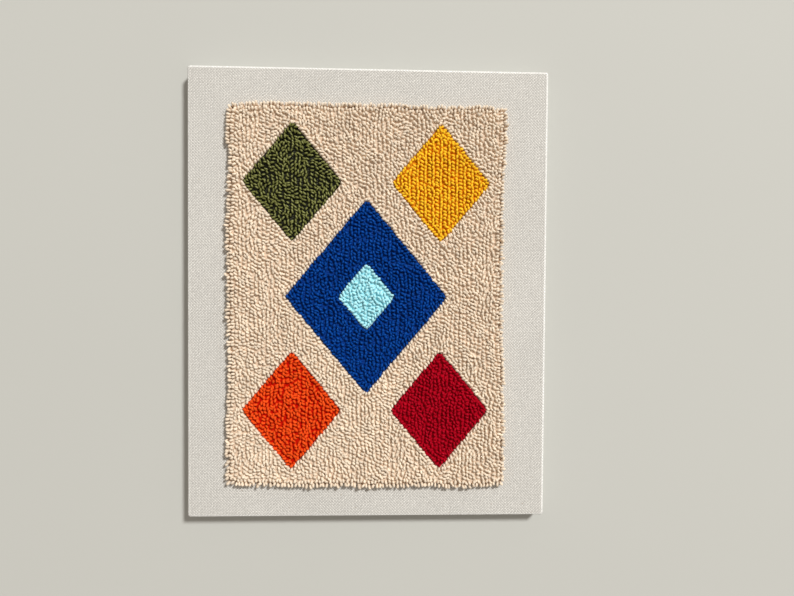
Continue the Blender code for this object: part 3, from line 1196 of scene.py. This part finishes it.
@dataclass
class PileArea:
    """One colour's area of pile: its loops, their feet and the flat stitches behind the linen."""

    STITCH_SHARES = (0.04, 0.5, 0.96)  # where a flat stitch's rings stand between two loops
    STITCH_GIRTHS = (0.55, 1.0, 0.55)
    STITCH_DROPS = (0.1, 1.0, 0.1)
    STITCH_SIDES = 4
    STITCH_FLATNESS = 0.45  # half a stitch's thickness, as a share of how far it bulges
    STITCH_RISE = 0.85  # the height on a loop whose blend of lit colour and painted shade a flat stitch gets

    node: str
    name: str
    slot: str
    finish: YarnFinish
    holes: tuple[str, ...] = ()
    on_rim: bool = False
    order: float = 0.5
    column_turns: tuple[float, float] = (90.0, 146.0)
    bands: int = 1
    shape: LoopShape = field(default_factory=LoopShape)
    rim_heights: tuple[float, float] = (2 * MM, 6.5 * MM)
    stitch_gap: float = 9.0 * MM
    stitch_bulge: float = 1.3 * MM
    feet_heights: tuple[float, float] = (1.2 * MM, 4.6 * MM)
    # the feet bed's darker tone is painted shade
    feet_shade_tone: float = 0.78
    feet_inset: float = 0.3 * MM
    feet_step: float = 6 * MM
    strand_girth: float = 7.0 * MM
    rim_insets: tuple[float, float] = (6.5 * MM, 3.0 * MM)

    def outlines(self) -> tuple[Outline, list[Outline]]:
        """The area's outer outline and those of the areas set in it."""
        outer = Outline.of_rim(self.node, self.rim_heights) if self.on_rim else Outline.of_patch(self.node)
        return outer, [Outline.of_patch(hole) for hole in self.holes]

    def build(self, effects: Effects, seed: int) -> None:
        """Build the area's yarn: a piece for each band of the area, and the bed of their feet.

        Args:
            effects: the shared effects.
            seed: the area's own seed.
        """
        outer, holes = self.outlines()
        plan = StitchPlan(outer, holes, self.on_rim, self.order, self.column_turns, seed)
        loops = plan.loops()
        material = self.finish.material(f"{self.name}_wool", effects)
        low, high = (corner[1] for corner in outer.corners())
        share = (loops.places[:, 1] - low) / (high - low)
        band = np.clip((share * self.bands).astype(int), 0, self.bands - 1)
        for number in range(self.bands):
            name = f"{self.name}_loops" if self.bands == 1 else f"{self.name}_loops_{number + 1}"
            yarn = YarnMesh()
            chosen = loops.chosen(band == number)
            self.add_loops(yarn, chosen, seed + number)
            self.add_stitches(yarn, chosen)
            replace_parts(placed(name, yarn.mesh(name), material), self.node)
        feet = placed(f"{self.name}_feet", self.feet(outer, holes), material)
        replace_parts(feet, self.node)

    def add_loops(self, yarn: YarnMesh, loops: Loops, seed: int) -> None:
        """Add the tube of every loop.

        Args:
            yarn: the mesh to add to.
            loops: the loops.
            seed: what their small differences come from.
        """
        rng = np.random.default_rng(seed)
        count, shape = len(loops.places), self.shape
        side, rise = shape.line()
        out_side, out_rise = shape.outward(float(loops.heights.mean()))
        around = 2 * np.pi * np.arange(shape.sides) / shape.sides
        spread = rng.normal(1.0, shape.width_spread, (count, 1, 1))
        radius = shape.yarn_radius * rng.normal(1.0, shape.girth_spread, (count, 1, 1))
        inner = -np.cos(around)[None, None, :]  # the map's seam runs along the inside of the loop
        middle = shape.half_width * spread * side[None, :, None]
        in_plane = middle + radius * inner * out_side[None, :, None]
        bow = rng.normal(0, shape.bow_spread, (count, 1, 1)) * np.sin(rise * np.pi)[None, :, None]
        off_plane = radius * np.sin(around)[None, None, :] + bow
        full = loops.heights[:, None, None] + shape.foot_depth
        up = full * rise[None, :, None] - shape.foot_depth + radius * inner * out_rise[None, :, None]
        twist = rng.normal(0, shape.twist_spread, (count, 1)) * (rise[None] - shape.twist_level)
        turn = loops.turns[:, None] + twist
        cos, sin = np.cos(turn)[..., None], np.sin(turn)[..., None]
        bend = (rise**shape.lean_curve)[None, :, None]
        lean = loops.leans[:, None, :] * loops.heights[:, None, None] * bend
        x = loops.places[:, 0, None, None] + in_plane * cos - off_plane * sin + lean[..., 0:1]
        y = loops.places[:, 1, None, None] + in_plane * sin + off_plane * cos + lean[..., 1:2]
        drop = shape.lean_drop * (loops.leans**2).sum(1)[:, None, None] * full * rise[None, :, None]
        z = LINEN_FACE + up - drop
        step = np.hypot(np.diff(side * shape.half_width), np.diff(rise * loops.heights.mean()))
        along = np.concatenate([[0], np.cumsum(step)])[None] + rng.uniform(0, 1, (count, 1))
        rises = np.broadcast_to(rise, (count, len(rise)))
        yarn.add_tubes(np.stack([x, y, z], -1), along, loops.tones, rises)

    def add_stitches(self, yarn: YarnMesh, loops: Loops) -> None:
        """Add the flat stitch behind the linen between each loop and the next of its row.

        Args:
            yarn: the mesh to add to.
            loops: the loops, in order.
        """
        start, end = loops.places[:-1], loops.places[1:]
        step = end - start
        length = np.linalg.norm(step, axis=1)
        joined = (length < self.stitch_gap) & (loops.runs[:-1] == loops.runs[1:])
        start, step, length = start[joined], step[joined], length[joined]
        count = len(start)
        if not count:
            return
        shares = np.array(self.STITCH_SHARES)
        widths = np.array(self.STITCH_GIRTHS) * self.shape.yarn_radius
        drops = np.array(self.STITCH_DROPS) * self.stitch_bulge
        around = 2 * np.pi * np.arange(self.STITCH_SIDES) / self.STITCH_SIDES
        ahead = step / length[:, None]
        across = np.stack([-ahead[:, 1], ahead[:, 0]], 1)
        line = start[:, None, None, :] + step[:, None, None, :] * shares[None, :, None, None]
        flat = line + across[:, None, None, :] * (widths[:, None] * np.cos(around))[None, ..., None]
        deep = LINEN_BACK - drops[:, None] * (0.5 + self.STITCH_FLATNESS * np.sin(around))
        z = np.broadcast_to(deep, (count, *deep.shape))[..., None]
        along = length[:, None] * shares[None]
        rises = np.full((count, len(shares)), self.STITCH_RISE)
        yarn.add_tubes(np.concatenate([flat, z], -1), along, loops.tones[:-1][joined], rises)

    def feet(self, outer: Outline, holes: list[Outline]) -> bpy.types.Mesh:
        """The bed of yarn where the loops crowd together at their feet, coloured with painted shade.

        Args:
            outer: the area's outer outline.
            holes: the outlines of the areas set in it.

        Returns:
            A thin sheet just above the linen.
        """
        bm = bmesh.new()
        foot, crowd = (LINEN_FACE + height for height in self.feet_heights)
        inset, skirt = self.rim_insets if self.on_rim else (self.feet_inset, 0.0)
        for outline, by in [(hole, -self.feet_inset) for hole in holes] + [(outer, inset)]:
            places, along = outline.walk(self.feet_step, by)
            ring = [bm.verts.new((*place, crowd)) for place in places]
            for first, second in zip(ring, ring[1:] + ring[:1]):
                bm.edges.new((first, second))
        bmesh.ops.triangle_fill(bm, use_beauty=True, use_dissolve=False, edges=bm.edges[:])
        if self.on_rim:
            reach = places + skirt * np.stack([np.sin(along), -np.cos(along)], 1)
            hem = [bm.verts.new((*place, foot)) for place in reach]
            for index, (top, low) in enumerate(zip(ring, hem)):
                bm.faces.new((top, ring[index - 1], hem[index - 1], low))
        bmesh.ops.recalc_face_normals(bm, faces=bm.faces)
        mesh = meshed(bm, f"{self.name}_feet")
        yarn = mesh.uv_layers.new(name=YarnMesh.YARN_MAP)
        for loop, place in zip(mesh.loops, yarn.data):
            spot = mesh.vertices[loop.vertex_index].co
            place.uv = (spot.x, spot.y / self.strand_girth)
        # painted shade: the bed gets a darker tone and rise 0, so the full deep colour
        for name, value in ((YarnMesh.TONE, self.feet_shade_tone), (YarnMesh.RISE, 0.0)):
            mark(mesh, name, np.full(len(mesh.vertices), value))
        return mesh


# Linen and bars


def placed(name: str, mesh: bpy.types.Mesh, material: bpy.types.Material) -> bpy.types.Object:
    """Put a finished mesh into the scene as a piece of the object.

    Args:
        name: the piece's name.
        mesh: its mesh.
        material: its material.

    Returns:
        The piece.
    """
    mesh.materials.append(material)
    piece = added(name, mesh)
    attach(piece, BODY)
    log.info("%s: %d faces", name, len(mesh.polygons))
    return piece


@dataclass
class StretchedLinen:
    """The linen: one sheet over the face and sides, turned in at the back, with its corners folded."""

    WEAVE_MAP = "weave"
    WORN = "worn"
    HIGHLIGHT_CURVE = 1.8  # above 1, so that most of a front edge's curve gets the painted highlight evenly
    FOLD_STEPS = 6
    FLAP_STEPS = 2
    ROUND = 0.5  # the profile of a bevel that is part of a circle
    DOWNWARD = -0.5  # a face that points down has a normal whose Z is under this

    node: str = "linen_canvas"
    slot: str = "linen"
    thickness: float = 1.0 * MM
    turn_in: float = 26 * MM
    corner_radius: float = 3.0 * MM
    front_radius: float = 3.0 * MM
    back_radius: float = 1.6 * MM
    fold_width: float = 19 * MM
    fold_thickness: float = 0.7 * MM
    fold_sink: float = 0.2 * MM
    fold_rounding: float = 0.3 * MM
    tiny: float = 0.001 * MM
    finish: LinenFinish = field(default_factory=LinenFinish)

    def build(self, effects: Effects) -> None:
        """Build the sheet and its corner folds.

        Args:
            effects: the shared effects.
        """
        low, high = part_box(self.node)
        material = self.finish.material("woven_linen", effects)
        sheet = placed("linen_sheet", self.sheet_mesh(low, high), material)
        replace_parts(sheet, self.node)
        folds = placed("linen_corner_folds", self.fold_mesh(low, high), material)

    def sheet_mesh(self, low: Vector, high: Vector) -> bpy.types.Mesh:
        """The sheet as it is stretched.

        Args:
            low: the lowest corner of its box.
            high: the highest corner.

        Returns:
            The mesh, with its weave's map.
        """
        size, middle = high - low, (low + high) / 2
        bm = bmesh.new()
        bmesh.ops.create_cube(bm, size=1.0)
        bmesh.ops.scale(bm, vec=size, verts=bm.verts)
        bmesh.ops.translate(bm, vec=middle, verts=bm.verts)

        def heights(edge: bmesh.types.BMEdge) -> list[float]:
            """The lower and the upper height of an edge's ends."""
            return sorted(vert.co.z for vert in edge.verts)

        def round_off(edges: list[bmesh.types.BMEdge], radius: float) -> None:
            """Round off some edges."""
            steps, curve = self.FOLD_STEPS, self.ROUND
            bmesh.ops.bevel(bm, geom=edges, offset=radius, segments=steps, profile=curve, affect="EDGES")

        upright = [edge for edge in bm.edges if heights(edge)[1] - heights(edge)[0] > size.z / 2]
        round_off(upright, self.corner_radius)
        under = next(face for face in bm.faces if face.normal.z < self.DOWNWARD)
        bmesh.ops.delete(bm, geom=[under], context="FACES_ONLY")
        rim = [edge for edge in bm.edges if edge.is_boundary]
        turned = bmesh.ops.extrude_edge_only(bm, edges=rim)["geom"]
        inner = [item for item in turned if isinstance(item, bmesh.types.BMVert)]
        for vert in inner:
            vert.co.x = math.copysign(size.x / 2 - self.turn_in, vert.co.x)
            vert.co.y = math.copysign(size.y / 2 - self.turn_in, vert.co.y)
        bmesh.ops.remove_doubles(bm, verts=inner, dist=self.tiny)
        bmesh.ops.recalc_face_normals(bm, faces=bm.faces)
        front = [edge for edge in bm.edges if heights(edge)[0] > high.z - self.tiny]
        round_off(front, self.front_radius)
        back = [edge for edge in bm.edges if heights(edge)[1] < low.z + self.tiny]
        outer = [edge for edge in back if any(face.normal.z > self.DOWNWARD for face in edge.link_faces)]
        round_off(outer, self.back_radius)
        for face in bm.faces:
            face.smooth = True
        mesh = solidified(meshed(bm, "linen_sheet"), self.thickness)
        self.map_weave(mesh, size, middle)
        self.mark_painted_highlight(mesh, high.z)
        return mesh

    def fold_mesh(self, low: Vector, high: Vector) -> bpy.types.Mesh:
        """The four triangular flaps where the corners are tucked, on the top and bottom sides.

        Args:
            low: the lowest corner of the linen's box.
            high: the highest corner.

        Returns:
            The mesh, with its weave's map.
        """
        bm = bmesh.new()
        for across in (-1, 1):
            for up in (-1, 1):
                edge = across * (high.x - self.corner_radius)
                tip = across * (high.x - self.corner_radius - self.fold_width)
                side = up * (high.y - self.fold_sink)
                top, bottom = high.z - self.front_radius, low.z + self.back_radius
                corners = [(edge, side, top), (edge, side, bottom), (tip, side, bottom)]
                face = bm.faces.new([bm.verts.new(corner) for corner in corners])
                grown = bmesh.ops.extrude_face_region(bm, geom=[face])["geom"]
                outer = [item for item in grown if isinstance(item, bmesh.types.BMVert)]
                thick = (0, up * (self.fold_thickness + self.fold_sink), 0)
                bmesh.ops.translate(bm, vec=thick, verts=outer)
        bmesh.ops.recalc_face_normals(bm, faces=bm.faces)
        steps, curve, edges = self.FLAP_STEPS, self.ROUND, bm.edges[:]
        bmesh.ops.bevel(
            bm, geom=edges, offset=self.fold_rounding, segments=steps, profile=curve, affect="EDGES"
        )
        mesh = meshed(bm, "linen_corner_folds")
        self.map_weave(mesh, high - low, (low + high) / 2)
        self.mark_painted_highlight(mesh, high.z)
        return mesh

    def map_weave(self, mesh: bpy.types.Mesh, size: Vector, middle: Vector) -> None:
        """Map the weave as if the sheet were unfolded.

        Args:
            mesh: the mesh to map.
            size: the size of the linen's box.
            middle: its middle.
        """
        weave = mesh.uv_layers.new(name=self.WEAVE_MAP)
        for face in mesh.polygons:
            for index in face.loop_indices:
                point = mesh.vertices[mesh.loops[index].vertex_index].co
                below = middle.z + size.z / 2 - point.z
                if abs(face.normal.x) > max(abs(face.normal.y), abs(face.normal.z)):
                    weave.data[index].uv = (point.x + math.copysign(below, point.x), point.y)
                elif abs(face.normal.y) > abs(face.normal.z):
                    weave.data[index].uv = (point.x, point.y + math.copysign(below, point.y))
                else:
                    weave.data[index].uv = (point.x, point.y)

    def mark_painted_highlight(self, mesh: bpy.types.Mesh, face_level: float) -> None:
        """Mark where the rounded front edges get a painted highlight, most in the middle of their curve.

        Args:
            mesh: the mesh to mark.
            face_level: the height of the linen's face.
        """
        places = np.empty(len(mesh.vertices) * 3, np.float32)
        mesh.vertices.foreach_get("co", places)
        below = np.clip((face_level - places[2::3]) / self.front_radius, 0, 1)
        highlight = np.minimum(self.HIGHLIGHT_CURVE * np.sin(2 * np.arccos(1 - below)), 1)
        mark(mesh, self.WORN, highlight)


def solidified(shell: bpy.types.Mesh, thickness: float) -> bpy.types.Mesh:
    """Give a shell its thickness, inwards, and let its flat faces keep their flat shading.

    Args:
        shell: the shell's mesh.
        thickness: how thick it becomes.

    Returns:
        The new mesh.
    """
    holder = added("shell_holder", shell)
    skin = holder.modifiers.new("thickness", "SOLIDIFY")
    skin.thickness = thickness
    skin.offset = -1.0
    skin.use_even_offset = True
    shading = holder.modifiers.new("shading", "WEIGHTED_NORMAL")
    shading.keep_sharp = True
    shading.weight = FLAT_FACES_LEAD
    bpy.context.view_layer.update()
    solid = bpy.data.meshes.new_from_object(holder.evaluated_get(bpy.context.evaluated_depsgraph_get()))
    bpy.data.objects.remove(holder)
    return solid


@dataclass
class StretcherBars:
    """The four wooden bars, which stay as the frame has them and get their grain."""

    slot: str = "stretcher_wood"
    nodes: tuple[tuple[str, Grain], ...] = (
        ("stretcher_bar_top", Grain.ACROSS),
        ("stretcher_bar_bottom", Grain.ACROSS),
        ("stretcher_bar_left", Grain.UP),
        ("stretcher_bar_right", Grain.UP),
    )

    def build(self, effects: Effects) -> None:
        """Dress the bars.

        Args:
            effects: the shared effects.
        """
        materials = {
            grain: WoodFinish(grain=grain).material(f"{self.slot}_{grain.value}", effects) for grain in Grain
        }
        for node, grain in self.nodes:
            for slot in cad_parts[node].material_slots:
                slot.material = materials[grain]
            log.info("%s: grain runs %s", node, grain.value)


# Stage


@dataclass(frozen=True)
class PhotoCamera:
    """The photograph's viewpoint, found from the canvas's four corners in it."""

    position: tuple[float, float, float] = (0.0068, 0.0119, 0.6901)
    turn_degrees: tuple[float, float, float] = (-1.374, -2.123, 0.411)
    focal_pixels: float = 600.0
    frame_pixels: float = 794.0
    sensor: float = 36.0
    nearest: float = 10 * MM

    def build(self) -> None:
        """Make the scene's camera."""
        data = bpy.data.cameras.new("photo_camera")
        data.sensor_width = self.sensor
        data.lens = self.focal_pixels / self.frame_pixels * self.sensor
        data.clip_start = self.nearest
        camera = added("photo_camera", data)
        camera.location = self.position
        camera.rotation_euler = [math.radians(angle) for angle in self.turn_degrees]
        bpy.context.scene.camera = camera


@dataclass(frozen=True)
class Studio:
    """A pale floor, a soft key light from the upper right of the picture, and a pale surround."""

    key_from: tuple[float, float, float] = (0.43, 0.53, 0.73)
    key_distance: float = 16.0
    key_size: float = 2.8
    key_power: float = 2570.0
    key_colour: Colour = (1.0, 0.985, 0.96)
    surround: Colour = (1.0, 0.90, 0.80)
    surround_strength: float = 0.38
    floor_size: float = 30.0

    def build(self, effects: Effects) -> None:
        """Build the floor, the light and the surround.

        Args:
            effects: the shared effects.
        """
        bm = bmesh.new()
        bmesh.ops.create_grid(bm, x_segments=2, y_segments=2, size=self.floor_size / 2)
        mesh = meshed(bm, "floor")
        mesh.materials.append(FloorFinish().material("floor_board", effects))
        added("floor", mesh)
        self.key_light()
        world = bpy.data.worlds.new("surround")
        world.use_nodes = True
        sky = world.node_tree.nodes["Background"]
        sky.inputs["Color"].default_value = (*self.surround, 1.0)
        sky.inputs["Strength"].default_value = self.surround_strength
        bpy.context.scene.world = world
        bpy.context.scene.view_settings.view_transform = "Standard"

    def key_light(self) -> None:
        """Add the key light, facing the middle of the piece."""
        data = bpy.data.lights.new("key", "AREA")
        data.shape = "DISK"
        data.size = self.key_size
        data.energy = self.key_power
        data.color = self.key_colour
        light = added("key", data)
        direction = Vector(self.key_from).normalized()
        light.location = direction * self.key_distance
        light.rotation_euler = direction.to_track_quat("Z", "Y").to_euler()


LINEN_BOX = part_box("linen_canvas")
LINEN_FACE = LINEN_BOX[1].z
LINEN_BACK = LINEN_FACE - StretchedLinen.thickness

SNUG = LoopShape(half_width=1.40 * MM, yarn_radius=1.38 * MM)
SLIM = LoopShape(half_width=1.85 * MM, yarn_radius=1.06 * MM)
PILE = (
    PileArea(
        node="pile_cream_ground",
        name="cream",
        slot="cream_yarn",
        finish=CREAM,
        holes=(
            "pile_royal_blue_diamond",
            "pile_olive_diamond",
            "pile_amber_diamond",
            "pile_vermilion_diamond",
            "pile_crimson_diamond",
        ),
        on_rim=True,
        order=0.5,
        column_turns=(116.0, 140.0),
        bands=4,
        feet_shade_tone=0.92,
    ),
    PileArea(
        node="pile_royal_blue_diamond",
        name="royal_blue",
        slot="royal_blue_yarn",
        finish=ROYAL_BLUE,
        holes=("pile_pale_blue_diamond",),
        order=0.4,
        shape=SNUG,
    ),
    PileArea("pile_pale_blue_diamond", "pale_blue", "pale_blue_yarn", PALE_BLUE, order=0.3, shape=SNUG),
    PileArea(
        node="pile_olive_diamond",
        name="olive",
        slot="olive_yarn",
        finish=OLIVE,
        order=0.4,
        column_turns=(104.0, 140.0),
        shape=SLIM,
        feet_heights=(1.2 * MM, 3.4 * MM),
        feet_shade_tone=0.2,
    ),
    PileArea("pile_amber_diamond", "amber", "amber_yarn", AMBER, order=0.92, shape=SNUG),
    PileArea("pile_vermilion_diamond", "vermilion", "vermilion_yarn", VERMILION, order=0.4, shape=SNUG),
    PileArea("pile_crimson_diamond", "crimson", "crimson_yarn", CRIMSON, order=0.5, shape=SNUG),
)


def main() -> None:
    """Build the stage, then every part of the wall piece."""
    logging.basicConfig(level=logging.INFO, format="%(name)s: %(message)s")
    effects = Effects(YarnTwist(), Mottle(), PlainWeave(), WoodGrain())
    PhotoCamera().build()
    Studio().build(effects)
    StretcherBars().build(effects)
    StretchedLinen().build(effects)
    for seed, area in enumerate(PILE, start=1):
        area.build(effects, 100 * seed)


if __name__ == "__main__":
    main()
